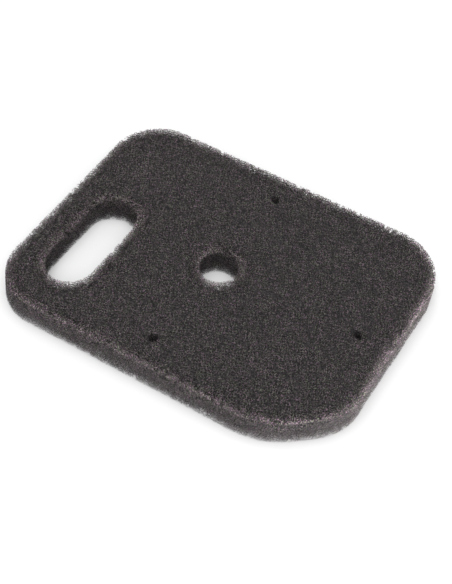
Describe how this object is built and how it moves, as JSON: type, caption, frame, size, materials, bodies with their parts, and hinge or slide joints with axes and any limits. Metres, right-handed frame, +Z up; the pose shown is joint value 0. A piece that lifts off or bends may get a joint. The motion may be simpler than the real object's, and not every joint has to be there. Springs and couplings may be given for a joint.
{
  "type": "foam air filter element",
  "caption": "Flat rounded rectangular open-cell foam air filter element with one corner cut off, a duct slot, a stud hole and small pin holes.",
  "frame": {"origin": "middle of the slab's length and width, on its underside", "axes": "+X along the slab's length, away from the duct slot; +Y across its width, away from the side with the corner cut; +Z up through its thickness"},
  "size_m": [0.1, 0.075, 0.008],
  "materials": {
    "filter_foam": "matte open-cell foam"
  },
  "bodies": {
    "root": {"foam_element": "filter_foam"}
  },
  "joints": []
}
